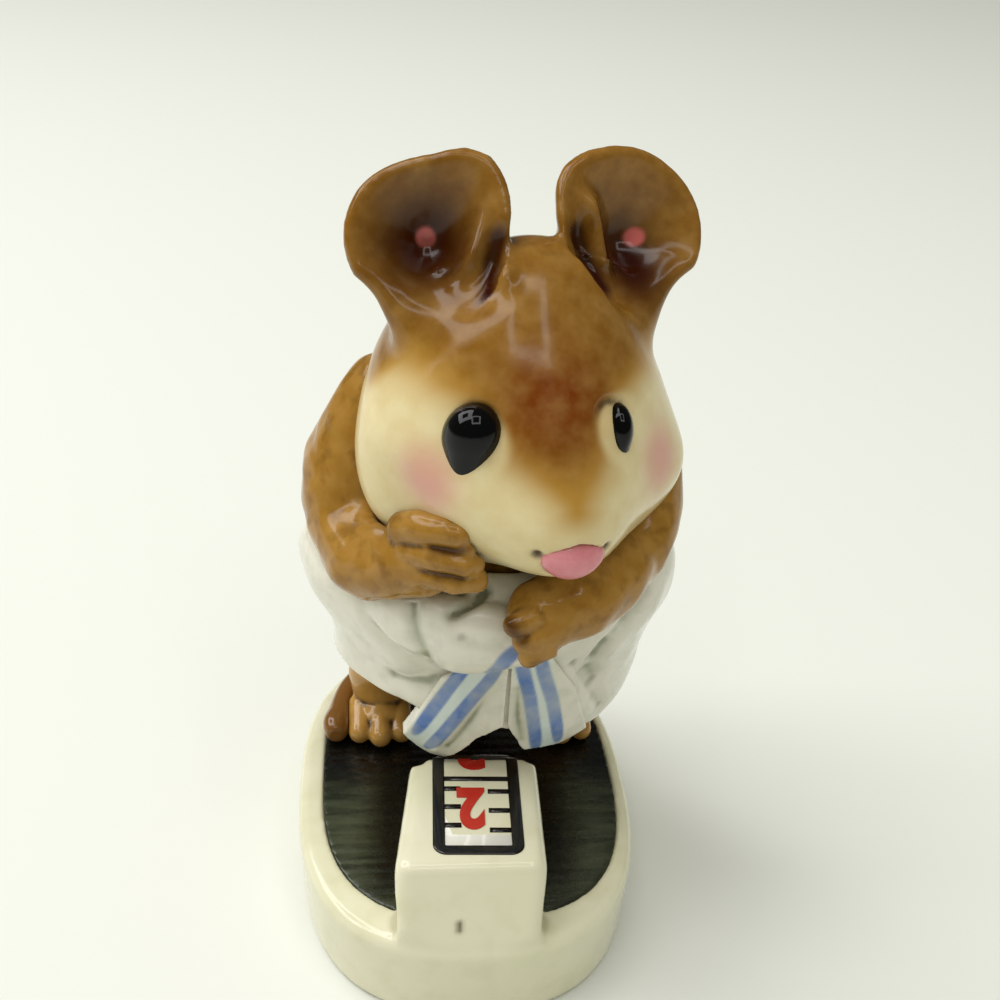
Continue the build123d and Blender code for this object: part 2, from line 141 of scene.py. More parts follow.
def mottle(tree, size_mm, stretch=(1, 1, 1), detail=3.0):
    """Noise with blotches of about that size, stretched along an axis where its share is under 1."""
    place = node(tree, "ShaderNodeTexCoord").outputs["Object"]
    scale = [share / size_mm / MILLIMETRE for share in stretch]
    scaled = node(tree, "ShaderNodeMapping", {"Vector": place, "Scale": scale})
    cloudy = node(tree, "ShaderNodeTexNoise", {"Vector": scaled.outputs[0], "Scale": 1.0, "Detail": detail})
    return cloudy.outputs["Fac"]


def ramped(tree, value, low, high, floor=0.0, ceiling=1.0):
    """Value stretched from the range low to high onto floor to ceiling."""
    links = {"Value": value, "From Min": low, "From Max": high, "To Min": floor, "To Max": ceiling}
    return node(tree, "ShaderNodeMapRange", links).outputs[0]


def glazed(name, ground, washes=(), marks=(), crevice="#3A2A18", crevice_share=0.6, blotch="#FFFFFF",
           blotch_share=0.15, blotch_mm=2.4, stretch=(1, 1, 1), dab="#3A2A18", dab_share=0.0, dab_mm=0.8,
           dab_mask=None, roughness=0.13, ripple_mm=1.8, ripple_depth=0.03, shine_level=0.4):
    """Glazed earthenware: a ground colour, washes laid over it by their masks, uneven where the brush left
    it thin, then solid marks, darker in the crevices as pooled glaze and as painted shade, under a clear coat
    with a slightly wavy surface."""
    material = bpy.data.materials.new(name)
    material.use_nodes = True
    tree = material.node_tree
    tree.nodes.clear()
    colour = glaze_colour(ground)
    for mask, code in washes:
        share = node(tree, "ShaderNodeAttribute", attribute_name=mask).outputs["Fac"]
        colour = blended(tree, share, colour, glaze_colour(code))
    patch = ramped(tree, mottle(tree, blotch_mm, stretch), 0.35, 0.75, 0.0, blotch_share)
    colour = blended(tree, patch, colour, glaze_colour(blotch))
    dabs = ramped(tree, mottle(tree, dab_mm, detail=6.0), 0.5, 0.68, 0.0, dab_share)
    if dab_mask:
        kept = node(tree, "ShaderNodeAttribute", attribute_name=dab_mask).outputs["Fac"]
        dabs = node(tree, "ShaderNodeMath", {0: dabs, 1: kept}, operation="MULTIPLY").outputs[0]
    colour = blended(tree, dabs, colour, glaze_colour(dab))
    for mask, code in marks:
        share = node(tree, "ShaderNodeAttribute", attribute_name=mask).outputs["Fac"]
        colour = blended(tree, share, colour, glaze_colour(code))
    # Darker in the crevices, as pooled glaze and as painted shade
    pool_and_shade = node(tree, "ShaderNodeAttribute", attribute_name="crevice").outputs["Fac"]
    colour = blended(tree, ramped(tree, pool_and_shade, 0.0, 1.0, 0.0, crevice_share), colour, glaze_colour(crevice))
    ripple = mottle(tree, ripple_mm, detail=1.5)
    bump = node(tree, "ShaderNodeBump", {
        "Height": ripple, "Distance": ripple_depth * MILLIMETRE, "Strength": 1.0})
    shine = ramped(tree, mottle(tree, 0.7), 0.3, 0.8, roughness * 0.8, roughness * 1.5)
    skin = node(tree, "ShaderNodeBsdfPrincipled", {
        "Base Color": colour, "Roughness": shine, "Normal": bump.outputs[0], "IOR": 1.5,
        "Specular IOR Level": shine_level, "Coat Weight": 0.4 * shine_level, "Coat Roughness": 0.05})
    node(tree, "ShaderNodeOutputMaterial", {"Surface": skin.outputs[0]})
    return material


def blank(*names):
    """The solids of these nodes as one loose mesh in millimetres."""
    form = bmesh.new()
    for name in names:
        form.from_mesh(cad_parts[name].data)
    bmesh.ops.scale(form, vec=Vector((1, 1, 1)) / MILLIMETRE, verts=form.verts)
    bmesh.ops.remove_doubles(form, verts=form.verts, dist=0.002)
    return form


def ball(form, middle, radii):
    """Adds an egg of clay with its radii along X, Y and Z."""
    placed = Matrix.Translation(middle) @ Matrix.Diagonal((*radii, 1))
    bmesh.ops.create_icosphere(form, subdivisions=3, radius=1, matrix=placed)


def coil(form, places, radii, count=24):
    """Adds a roll of clay through the places, its radius changing evenly from one to the next."""
    for share in np.linspace(0, 1, count):
        spot = share * (len(places) - 1)
        first = min(int(spot), len(places) - 2)
        part = spot - first
        before = Vector(places[max(first - 1, 0)])
        start, end = Vector(places[first]), Vector(places[first + 1])
        after = Vector(places[min(first + 2, len(places) - 1)])
        middle = 0.5 * (
            2 * start + (end - before) * part + (2 * before - 5 * start + 4 * end - after) * part ** 2
            + (3 * start - before - 3 * end + after) * part ** 3)
        radius = float(np.interp(share, np.linspace(0, 1, len(radii)), radii))
        ball(form, middle, (radius, radius, radius))


def around(middle, rows):
    """Places round an upright axis, from rows of angle, height and radius."""
    return [(middle[0] + radius * cos(radians(angle)), middle[1] + radius * sin(radians(angle)), height)
            for angle, height, radius in rows]


def linked(name, data):
    """Adds an object that holds this data to the scene."""
    made = bpy.data.objects.new(name, data)
    bpy.context.scene.collection.objects.link(made)
    return made


def plain(name, carrier):
    """Keeps what an object evaluates to as a plain mesh, in place of the object."""
    bpy.context.view_layer.update()
    mesh = bpy.data.meshes.new_from_object(carrier.evaluated_get(bpy.context.evaluated_depsgraph_get()))
    mesh.name = name
    bpy.data.objects.remove(carrier)
    return linked(name, mesh)


def moulded(name, form, grain, softening):
    """Fuses the clay into one skin of that grain and softens it, as luting and glaze do."""
    rough = bpy.data.meshes.new(name + "_rough")
    form.to_mesh(rough)
    form.free()
    piece = linked(name + "_rough", rough)
    skin = piece.modifiers.new("skin", "REMESH")
    skin.mode = "VOXEL"
    skin.voxel_size = grain
    soft = piece.modifiers.new("soft", "SMOOTH")
    soft.factor = 0.5
    soft.iterations = softening
    return plain(name, piece)


def remoulded(piece, grain, softening):
    """Gives a reshaped piece an even skin again."""
    form = bmesh.new()
    form.from_mesh(piece.data)
    name = piece.name
    bpy.data.objects.remove(piece)
    return moulded(name, form, grain, softening)


def spots(piece):
    """Vertices of a piece as an array."""
    found = np.zeros(len(piece.data.vertices) * 3)
    piece.data.vertices.foreach_get("co", found)
    return found.reshape(-1, 3)


def outward(piece):
    """Normals at the vertices of a piece."""
    found = np.zeros(len(piece.data.vertices) * 3)
    piece.data.vertices.foreach_get("normal", found)
    return found.reshape(-1, 3)


def shifted(piece, shift):
    """Moves the vertices of a piece by an array."""
    piece.data.vertices.foreach_set("co", (spots(piece) + shift).ravel())
    piece.data.update()


def from_line(places, line):
    """Distance of each place from a broken line."""
    nearest = np.full(len(places), 1e9)
    for start, end in zip(line[:-1], line[1:]):
        start, run = np.array(start, float), np.array(end, float) - np.array(start, float)
        share = np.clip(((places - start) @ run) / max(run @ run, 1e-9), 0, 1)
        nearest = np.minimum(nearest, np.linalg.norm(places - start - share[:, None] * run, axis=1))
    return nearest


def near_line(places, line, width):
    """How near each place lies to a broken line: 1 on it, fading to 0 over about the width."""
    return np.exp(-(from_line(places, line) / width) ** 2)


def brushed(places, rows):
    """The strongest at each place of soft brush marks along lines, from rows of width and line."""
    return np.max([near_line(places, line, width) for width, line in rows], axis=0)


def ridge(piece, line, height, width):
    """Raises the skin along a line, or presses a groove where the height is negative."""
    shifted(piece, outward(piece) * (height * near_line(spots(piece), line, width))[:, None])


def eased(value, low, high):
    """Smooth step of an array from 0 at low to 1 at high."""
    share = np.clip((value - low) / (high - low), 0, 1)
    return share * share * (3 - 2 * share)


def kneaded(piece, size, depth):
    """Leaves the uneven surface of hand modelling: low swellings and hollows of about that size."""
    swell = [noise.noise(Vector(place) / size) for place in spots(piece)]
    shifted(piece, outward(piece) * (depth * np.array(swell))[:, None])


def neighbours(piece):
    """Both ends of every edge of a piece, and how many edges meet at each vertex."""
    ends = np.zeros(len(piece.data.edges) * 2, int)
    piece.data.edges.foreach_get("vertices", ends)
    count = np.bincount(ends, minlength=len(piece.data.vertices))
    return *ends.reshape(-1, 2).T, np.maximum(count, 1)


def gathered(values, first, second, count):
    """Mean of a value over the neighbours of each vertex."""
    total = np.bincount(first, values[second], len(values)) + np.bincount(second, values[first], len(values))
    return total / count


def softened(piece, mask, rounds):
    """Smooths the skin of a piece where the mask says, as a wet finger does."""
    edges = neighbours(piece)
    start = spots(piece)
    places = start.copy()
    for _ in range(rounds):
        smooth = np.column_stack([gathered(places[:, axis], *edges) for axis in range(3)])
        places += (smooth - places) * mask[:, None] * 0.6
    shifted(piece, places - start)


def wash(piece, mask, shares):
    """Keeps a mask on the vertices of a piece: an array, or one share for the whole piece."""
    layer = piece.data.attributes.new(mask, "FLOAT", "POINT")
    shares = np.broadcast_to(shares, len(piece.data.vertices))
    layer.data.foreach_set("value", np.clip(shares, 0, 1).astype(np.float32))


def pooled_glaze_and_shade(piece, depth_mm=0.012, spread=6):
    """Masks the crevices, where glaze pools and where shade is painted, from how far each vertex lies under
    its neighbours.
    """
    edges = neighbours(piece)
    places, facing = spots(piece), outward(piece)
    hollow = sum((gathered(places[:, axis], *edges) - places[:, axis]) * facing[:, axis] for axis in range(3))
    for _ in range(spread):
        hollow = (hollow + gathered(hollow, *edges)) / 2
    wash(piece, "crevice", eased(hollow, 0.15 * depth_mm, depth_mm))


def finished(piece, material, slot, *nodes):
    """Turns a piece to metres, gives it its glaze and seats it on the frame."""
    pooled_glaze_and_shade(piece)
    piece.data.transform(Matrix.Scale(MILLIMETRE, 4))
    piece.data.materials.clear()
    piece.data.materials.append(material)
    piece.data.polygons.foreach_set("use_smooth", [True] * len(piece.data.polygons))
    piece.data.update()
    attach(piece, "root")
    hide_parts(*nodes)


def on_head(side, crown, face):
    """Place in the head's own frame."""
    return HEAD_MIDDLE + SIDE_AXIS * side + CROWN_AXIS * crown + FACE_AXIS * face


def ear_frame(hand):
    """Middle of an ear's mouth and its axes: across to the mouse's left, up, and the way that it faces."""
    middle = on_head(hand * EAR_SPREAD, EAR_RISE, -EAR_SET_BACK)
    heading = EAR_HEADING + hand * EAR_TURN_OUT
    facing = Vector((sin(heading) * cos(EAR_LEAN), -cos(heading) * cos(EAR_LEAN), sin(EAR_LEAN)))
    across = Vector((0, 0, 1)).cross(facing).normalized()
    return np.array(middle), np.array([across, facing.cross(across), facing])


def ear_mouth(places, normals, hand):
    """Places across, up and ahead of an ear's mouth, and how far each one faces out of the cup."""
    middle, axes = ear_frame(hand)
    local = (places - middle) @ axes.T
    inside = (np.hypot(local[:, 0], local[:, 1]) < EAR_REACH) & (local[:, 2] > EAR_BACK)
    return local, inside * eased(normals @ axes[2], -0.12, 0.3)


def ear_shaped(piece, hand, rim, depth):
    """Gives an ear the rim of its table (angle, radius) and a trumpet-shaped cup of that depth."""
    middle, axes = ear_frame(hand)
    places, normals = spots(piece), outward(piece)
    local, front = ear_mouth(places, normals, hand)
    radius, angle = np.hypot(local[:, 0], local[:, 1]), np.degrees(np.arctan2(local[:, 1], local[:, 0])) % 360
    edge = np.interp(angle, *np.array(rim).T, period=360)
    near_rim = eased(radius, 2.2, 5.0) * eased(local[:, 2], -4.6, -1.6) * (radius < 6.6)
    stretch = 1 + (edge / EAR_RADIUS - 1) * near_rim
    local[:, :2] *= stretch[:, None]
    share = np.clip(radius * stretch / edge / 0.95, 0, 1)
    bowl = -depth * (1 - np.sqrt(share ** 2 * 0.97 + 0.03)) ** 1.3
    reach = front * (1 - eased(share, 0.96, 1.0))
    local[:, 2] += (bowl - local[:, 2]) * reach
    shifted(piece, middle + local @ axes - places)


def ear_line(hand, line, ahead):
    """Line on an ear from places (across, up) at a depth in its mouth."""
    middle, axes = ear_frame(hand)
    return [middle + np.array([across, up, ahead]) @ axes for across, up in line]


def ear_near(local, line, width):
    """How near each place of an ear, seen from before its mouth, lies to a flat line (across, up)."""
    flat = np.column_stack([local[:, :2], np.zeros(len(local))])
    return near_line(flat, [(*spot, 0) for spot in line], width)


def in_head(places):
    """Places as seen in the head's own frame: side, crown and face."""
    return (places - np.array(HEAD_MIDDLE)) @ HEAD_AXES.T


# Cream glaze over slip-cast earthenware: warm white, bright where it is thin on the edges, khaki in its
# pools, a khaki that also paints the shade in the crevices
cream_glaze = glazed(
    "cream_glaze", "#DDD8BE", marks=(("pinhole", "#5A4A30"),), crevice="#A39C74", crevice_share=0.5,
    blotch="#CFCFA8", blotch_share=0.45, blotch_mm=7.0, dab="#BDB98E", dab_share=0.25, dab_mm=3.0,
    roughness=0.14, ripple_mm=2.6)
# Black-green underglaze brushed across the mat: streaks run from side to side, and painted shade darkens it
mat_glaze = glazed(
    "mat_glaze", "#272B1D", marks=(("shade", "#070806"),), crevice="#0A0B08", crevice_share=0.5,
    blotch="#565C42", blotch_share=0.5, blotch_mm=0.55, stretch=(0.14, 1, 1), roughness=0.24,
    ripple_mm=0.7, ripple_depth=0.02)
# Black glaze of the border and the ticks: thick and glassy
border_glaze = glazed(
    "border_glaze", "#12100F", crevice="#050505", blotch="#2A2623", blotch_share=0.2, roughness=0.16)
# White glaze of the dial card: a little uneven, as a brush leaves it
card_glaze = glazed(
    "card_glaze", "#E6E3D8", crevice="#B8B5A0", blotch="#D2D2C0", blotch_share=0.3, blotch_mm=1.6,
    roughness=0.12)
# Iron-red overglaze of the numerals: slightly duller than the glaze that it lies on
red_glaze = glazed(
    "red_glaze", "#B4241A", crevice="#8E1812", blotch="#D0503A", blotch_share=0.3, roughness=0.2)
# White glaze of the towel: grey-green painted shade in its folds, blue overglaze stripes and pale teal
# between
towel_glaze = glazed(
    "towel_glaze", "#DDD8CA", washes=(("teal", "#C2D3D2"), ("stripe", "#4C70AE")),
    marks=(("painted_towel_shade", "#8F9275"),), crevice="#7E8268", crevice_share=0.85,
    blotch="#CBCBB6", blotch_share=0.5, blotch_mm=3.0, dab="#AEB09A", dab_share=0.3, dab_mm=1.6,
    roughness=0.16, ripple_mm=1.4, ripple_depth=0.05)
# Airbrushed brown underglaze over a cream ground: golden at the edges of the spray, rust where it is thick
fur_glaze = glazed(
    "fur_glaze", "#D9CA9C",
    washes=(("gold", "#AE8234"), ("brown", "#80561A"), ("rust", "#6E2E00"), ("blush", "#CF938A")),
    # Dark marks: painted nostril dots, and painted shade in the ear hollows, along the ear crevices and in
    # the creases of the arms
    marks=(("dots_and_painted_shade", "#2E0600"), ("pink", "#C8665F")), crevice="#3A1E08", crevice_share=0.8,
    blotch="#C09A58", blotch_share=0.25, blotch_mm=1.5,
    dab="#5E3A0C", dab_share=0.45, dab_mm=1.3, dab_mask="worn",
    roughness=0.16, ripple_mm=2.2, shine_level=0.24)
# Brown wash wiped off the paws: pale on the knuckles, left dark between the fingers and toes, a dark that
# also paints the shade there
paw_glaze = glazed(
    "paw_glaze", "#B58A46", washes=(("dark", "#5A3212"),), crevice="#24100A", crevice_share=0.9,
    blotch="#7E5218", blotch_share=0.4, blotch_mm=1.4, roughness=0.15)
# Black glaze of the eyes, the glassiest of all
eye_glaze = glazed(
    "eye_glaze", "#050505", crevice="#050505", blotch="#0C0C0E", blotch_share=0.2, roughness=0.05,
    ripple_depth=0.01, shine_level=0.2)
# Pink glaze of the nose: deeper in the seam round it, as pooled glaze and as painted shade
nose_glaze = glazed(
    "nose_glaze", "#CC7A80", crevice="#8E3F48", blotch="#DF9DA0", blotch_share=0.4, blotch_mm=1.0,
    roughness=0.12)


# Scale casting: the window pocket is filled level, so that the border and the card lie on the glaze
PINHOLE = ((-1.4, -17.8, 8.9), (-1.4, -18.0, 8.4))
brow_frame = Matrix.Translation(BROW) @ Matrix.Rotation(np.arctan2(BROW_RISE, BROW_RUN), 4, "X")
window_seat = brow_frame @ Matrix.Translation((0, WINDOW_MARGIN + WINDOW_LENGTH / 2, 0))
window_frame = window_seat @ Matrix.Rotation(WINDOW_TURN, 4, "Z")
casting = blank("scale_body")
fill = bmesh.ops.create_cube(casting, size=1)["verts"]
fill_size = (WINDOW_WIDTH + POCKET_SPARE, WINDOW_LENGTH + POCKET_SPARE, POCKET_FILL)
bmesh.ops.scale(casting, vec=fill_size, verts=fill)
bmesh.ops.transform(casting, matrix=window_frame @ Matrix.Translation((0, 0, -POCKET_FILL / 2)), verts=fill)
casting = moulded("scale_casting", casting, grain=0.24, softening=12)
places = spots(casting)
housing = eased(places[:, 2], HOUSING_SHOULDER, HOUSING_TOP) * (np.abs(places[:, 0]) < HOUSING_HALF_WIDTH)
shifted(casting, np.array([HOUSING_SPREAD, 0, 0]) * (places[:, 0] * housing)[:, None])
wash(casting, "pinhole", near_line(spots(casting), PINHOLE, 0.24))
finished(casting, cream_glaze, "scale_glaze", "scale_body")

# Standing mat: worn ribs, with painted shade beside the housing and under the feet
standing_mat = moulded("standing_mat", blank("tread_mat"), grain=0.2, softening=10)
places = spots(standing_mat)
worn = (places[:, 2] > MAT_TOP - MAT_RIB) * MAT_WEAR
shifted(standing_mat, np.array([0, 0, 1]) * (worn * (MAT_TOP - places[:, 2]))[:, None])
beside = eased(9.4 - np.abs(places[:, 0] - 0.2), 0, 3.0) * eased(places[:, 1] + 16.5, 0, 6)
wash(standing_mat, "shade", np.maximum(0.9 * beside, eased(places[:, 1], -4, 2)))
finished(standing_mat, mat_glaze, "mat_glaze", "tread_mat")


def rounded_outline(width, length, corner, steps=8):
    """Rectangle with round corners, as points going round once."""
    outline = []
    for turn, (across, along) in enumerate(((1, 1), (-1, 1), (-1, -1), (1, -1))):
        for step in range(steps + 1):
            angle = (turn + step / steps) * pi / 2
            outline.append((across * (width / 2 - corner) + corner * cos(angle),
                            along * (length / 2 - corner) + corner * sin(angle)))
    return outline


def stacked_rings(name, rings, closed=False):
    """Skin through rings of (inset, height), each a rounded rectangle of the window."""
    form = bmesh.new()
    rows = []
    for inset, height in rings:
        corner = max(WINDOW_CORNER - inset, 0.12)
        outline = rounded_outline(WINDOW_WIDTH - 2 * inset, WINDOW_LENGTH - 2 * inset, corner)
        rows.append([form.verts.new((x, y, height)) for x, y in outline])
    pairs = list(zip(rows[:-1], rows[1:])) + ([] if closed else [(rows[-1], rows[0])])
    for lower, upper in pairs:
        for step in range(len(lower)):
            after = (step + 1) % len(lower)
            form.faces.new((lower[step], lower[after], upper[after], upper[step]))
    if closed:
        form.faces.new(rows[-1])
        form.faces.new(list(reversed(rows[0])))
    bmesh.ops.remove_doubles(form, verts=form.verts, dist=0.0005)
    bmesh.ops.recalc_face_normals(form, faces=form.faces)
    mesh = bpy.data.meshes.new(name)
    form.to_mesh(mesh)
    form.free()
    return linked(name, mesh)


def on_window(piece):
    """Lays a flat piece of the dial on the window: it follows the round back edge of the housing."""
    places = spots(piece)
    past_edge = places[:, 1] + WINDOW_MARGIN + WINDOW_LENGTH / 2 - HOUSING_EDGE
    reach = np.clip(past_edge, 0, 0.85 * HOUSING_ROUND)
    drop = HOUSING_ROUND - np.sqrt(HOUSING_ROUND ** 2 - reach ** 2)
    shifted(piece, np.array([0, 0, -1]) * drop[:, None])
    piece.data.transform(window_frame)
    piece.data.update()
    return piece


def lengthened(piece):
    """Draws the back end of a piece out to the housing's back edge."""
    places = spots(piece)
    shifted(piece, np.array([0, WINDOW_OVERHANG, 0]) * (places[:, 1] > 0)[:, None])
    return piece


# Card and border of the dial: rings of inset and height
CARD_RINGS = ((0.5, -0.4), (0.5, CARD_TOP))
BORDER_RINGS = (
    (-0.1, -0.3), (-0.1, 0.04), (-0.04, 0.09), (0.1, 0.12),
    (0.6, 0.12), (0.74, 0.09), (0.8, 0.04), (0.8, -0.3))
card = stacked_rings("card", CARD_RINGS, closed=True)
finished(on_window(lengthened(card)), card_glaze, "card_glaze", "dial_card")
border = stacked_rings("border", BORDER_RINGS)
finished(on_window(lengthened(border)), border_glaze, "bezel_glaze", "dial_bezel")


def tick_row(name, start, length, pitch, count):
    """Row of painted ticks, laid out by geometry nodes and kept as a plain mesh."""
    tree = bpy.data.node_groups.new(name + "_nodes", "GeometryNodeTree")
    new_socket = tree.interface.new_socket
    new_socket("Geometry", in_out="OUTPUT", socket_type="NodeSocketGeometry")
    inputs = (
        ("Tick Length", "NodeSocketFloat", length), ("Tick Width", "NodeSocketFloat", TICK_WIDTH),
        ("Tick Height", "NodeSocketFloat", TICK_HEIGHT), ("Pitch", "NodeSocketFloat", pitch),
        ("Count", "NodeSocketInt", count), ("Ink", "NodeSocketMaterial", border_glaze))
    keys = [new_socket(label, in_out="INPUT", socket_type=kind).identifier for label, kind, value in inputs]
    given = node(tree, "NodeGroupInput").outputs
    step = node(tree, "ShaderNodeCombineXYZ", {"Y": given["Pitch"]})
    line = node(tree, "GeometryNodeMeshLine", {"Count": given["Count"], "Offset": step.outputs[0]})
    size = node(tree, "ShaderNodeCombineXYZ", {
        "X": given["Tick Length"], "Y": given["Tick Width"], "Z": given["Tick Height"]})
    stroke = node(tree, "GeometryNodeMeshCube", {"Size": size.outputs[0]})
    rows = node(tree, "GeometryNodeInstanceOnPoints", {
        "Points": line.outputs[0], "Instance": stroke.outputs[0]})
    solid = node(tree, "GeometryNodeRealizeInstances", {"Geometry": rows.outputs[0]})
    inked = node(tree, "GeometryNodeSetMaterial", {"Geometry": solid.outputs[0], "Material": given["Ink"]})
    node(tree, "NodeGroupOutput", {"Geometry": inked.outputs[0]})
    carrier = linked(name + "_row", bpy.data.meshes.new(name + "_row"))
    pattern = carrier.modifiers.new("ticks", "NODES")
    pattern.node_group = tree
    for key, (label, kind, value) in zip(keys, inputs):
        pattern[key] = value
    row = plain(name, carrier)
    row.data.transform(Matrix.Translation(start))
    return row


# Ticks: name, place of the first one, length, pitch and count
TICK_WIDTH = 0.46
TICK_HEIGHT = 0.05
TICK_ROWS = (
    ("ticks_right", (-1.85, -2.16, CARD_TOP), 1.3, 1.93, 3),
    ("ticks_left", (1.65, -2.65, CARD_TOP), 1.6, 2.03, 3),
    ("tick_across", (0.0, 2.79, CARD_TOP), 5.0, 1.0, 1),
)
for name, start, length, pitch, count in TICK_ROWS:
    row = tick_row(name, start, length, pitch, count)
    finished(on_window(row), border_glaze, "bezel_glaze", "dial_bezel")


def numeral(name, figure, low, high, cut):
    """Red brushed numeral that fills a box on the card, upside down so that the mouse can read it, and
    ends where the border covers it."""
    curve = bpy.data.curves.new(name, "FONT")
    curve.body = figure
    curve.extrude = 0.012
    curve.offset = 0.05
    piece = plain(name, linked(name + "_text", curve))
    places = spots(piece)
    share = (places - places.min(0)) / (places.max(0) - places.min(0))
    turned = np.column_stack([1 - share[:, 0], 1 - share[:, 1], share[:, 2]])
    bottom, top = np.array([*low, NUMERAL_BOTTOM]), np.array([*high, NUMERAL_TOP])
    shifted(piece, bottom + turned * (top - bottom) - places)
    form = bmesh.new()
    form.from_mesh(piece.data)
    whole = [*form.verts, *form.edges, *form.faces]
    bmesh.ops.bisect_plane(form, geom=whole, plane_co=(0, cut, 0), plane_no=(0, 1, 0), clear_outer=True)
    form.to_mesh(piece.data)
    form.free()
    return piece


# Numerals: name, figure, the low and high corners of its box, and where it ends
NUMERAL_BOTTOM = 0.01
NUMERAL_TOP = 0.06
NUMERALS = (
    ("numeral_two", "2", (-1.5, -2.6), (0.6, 1.8), 9),
    ("numeral_three", "3", (-1.4, 3.8), (0.85, 8.2), 5.3),
)
for name, figure, low, high, cut in NUMERALS:
    finished(on_window(numeral(name, figure, low, high, cut)), red_glaze, "card_glaze", "dial_card")

# Towel: wrap, rolled upper edge and the two hanging ends. Each fold is a pressed line: depth, width, places
TOWEL_FOLDS = (
    (-0.45, 0.7, (
        (-4.9, -9.0, 30.4), (-4.7, -9.9, 28.5), (-4.0, -10.1, 26.6), (-2.8, -7.4, 24.0), (-1.6, -8.0, 23.2))),
    (-0.7, 0.35, ((0.2, -8.1, 30.6), (-0.8, -9.4, 30.6), (-2.0, -10.3, 30.2))),
    (-0.35, 0.8, ((-5.9, -5.1, 21.3), (-4.8, -5.9, 21.3), (-3.5, -6.5, 21.6), (-2.3, -7.7, 22.8))),
    (-0.5, 0.9, ((12.4, -4.6, 28.6), (11.6, -5.5, 27.5), (10.4, -6.0, 25.6))),
    (-0.6, 0.8, ((9.6, -6.2, 24.6), (9.0, -6.2, 23.4))),
    (-0.5, 0.8, ((8.7, -5.9, 22.1), (9.4, -5.4, 20.6))),
    (-0.3, 0.7, ((7.2, -7.0, 23.4), (8.9, -5.2, 19.8), (10.1, -3.6, 17.0))),
    (0.35, 1.2, ((-8.5, -6.0, 27.5), (-7.0, -6.2, 24.2), (-4.6, -6.4, 20.2))),
    (-0.3, 0.8, ((2.3, -10.7, 27.2), (0.6, -11.0, 28.2), (-1.4, -10.9, 28.6))),
)
# Grey-green painted shade in the folds, and the end of a stripe at the knot: width and places
TOWEL_SHADES = (
    (0.55, (
        (-4.9, -9.4, 30.4), (-4.7, -9.9, 28.5), (-4.0, -10.1, 27.0), (-3.0, -7.6, 24.2), (-1.6, -8.0, 23.2))),
    (0.5, ((0.4, -8.1, 30.9), (-0.8, -9.4, 30.6), (-2.2, -10.3, 30.1))),
    (0.7, ((11.8, -5.4, 27.7), (11.0, -5.8, 26.6))),
    (0.8, ((9.4, -6.2, 24.4), (8.9, -6.2, 23.2))),
    (0.7, ((8.7, -5.9, 22.1), (9.0, -5.6, 21.4))),
)
KNOT_STRIPE = ((2.9, -10.9, 27.8), (1.6, -10.8, 26.5), (0.9, -10.2, 25.2))
# Rolled upper edge round the back and the cloth over the backs of the legs: rows of angle, height and radius
TOWEL_AXIS = (1.2, 2.0)
TOWEL_BACK_EDGE = (
    (345, 30.2, 12.2), (358, 30.5, 11.9), (375, 30.5, 11.9), (390, 30.4, 11.6), (405, 30.2, 11.2),
    (420, 30.0, 10.8), (435, 29.9, 10.6), (450, 29.9, 10.55), (465, 30.0, 10.6), (480, 30.2, 10.8),
    (495, 30.4, 11.1), (510, 30.5, 11.4), (525, 30.6, 11.7), (540, 30.6, 11.8), (552, 30.2, 11.9))
LEFT_HEM_ANGLES = (27, 39, 51, 63)
LEFT_HEM_HEIGHT = 13.2
LEFT_HEM_ROWS = 6
LEFT_HEM_RADIUS = 10.1
RADIUS_PER_DEGREE = 0.011
RADIUS_PER_ROW = 0.32
RIGHT_HEM = (
    ((116, 15.1, 11.1), (126, 15.9, 11.3), (134, 16.7, 11.4), (142, 17.4, 11.4), (152, 18.2, 11.3)),
    ((118, 16.4, 11.3), (128, 17.1, 11.5), (136, 17.8, 11.5), (146, 18.5, 11.5)),
    ((120, 17.9, 11.5), (130, 18.4, 11.6), (142, 18.9, 11.6)),
)
cloth = blank("towel_wrap", "towel_fold")
coil(cloth, around(TOWEL_AXIS, TOWEL_BACK_EDGE), radii=(0.9, 0.9), count=100)
for row in range(LEFT_HEM_ROWS):
    hem_row = []
    for angle in LEFT_HEM_ANGLES:
        radius = LEFT_HEM_RADIUS + RADIUS_PER_DEGREE * (angle - LEFT_HEM_ANGLES[0]) + RADIUS_PER_ROW * row
        hem_row.append((angle, LEFT_HEM_HEIGHT + row, radius))
    coil(cloth, around(TOWEL_AXIS, hem_row), radii=(1.1, 1.1), count=22)
for hem_row in RIGHT_HEM:
    coil(cloth, around(TOWEL_AXIS, hem_row), radii=(1.05, 1.05), count=22)
towel = moulded("towel", cloth, grain=0.22, softening=8)
kneaded(towel, size=3.0, depth=0.22)
for height, width, line in TOWEL_FOLDS:
    ridge(towel, line, height, width)
# Grey-green painted shade along the folds
wash(towel, "painted_towel_shade", 0.75 * brushed(spots(towel), TOWEL_SHADES))
wash(towel, "stripe", 1 - eased(from_line(spots(towel), KNOT_STRIPE), 0.55, 0.85))
finished(towel, towel_glaze, "towel_glaze", "towel_wrap", "towel_fold")
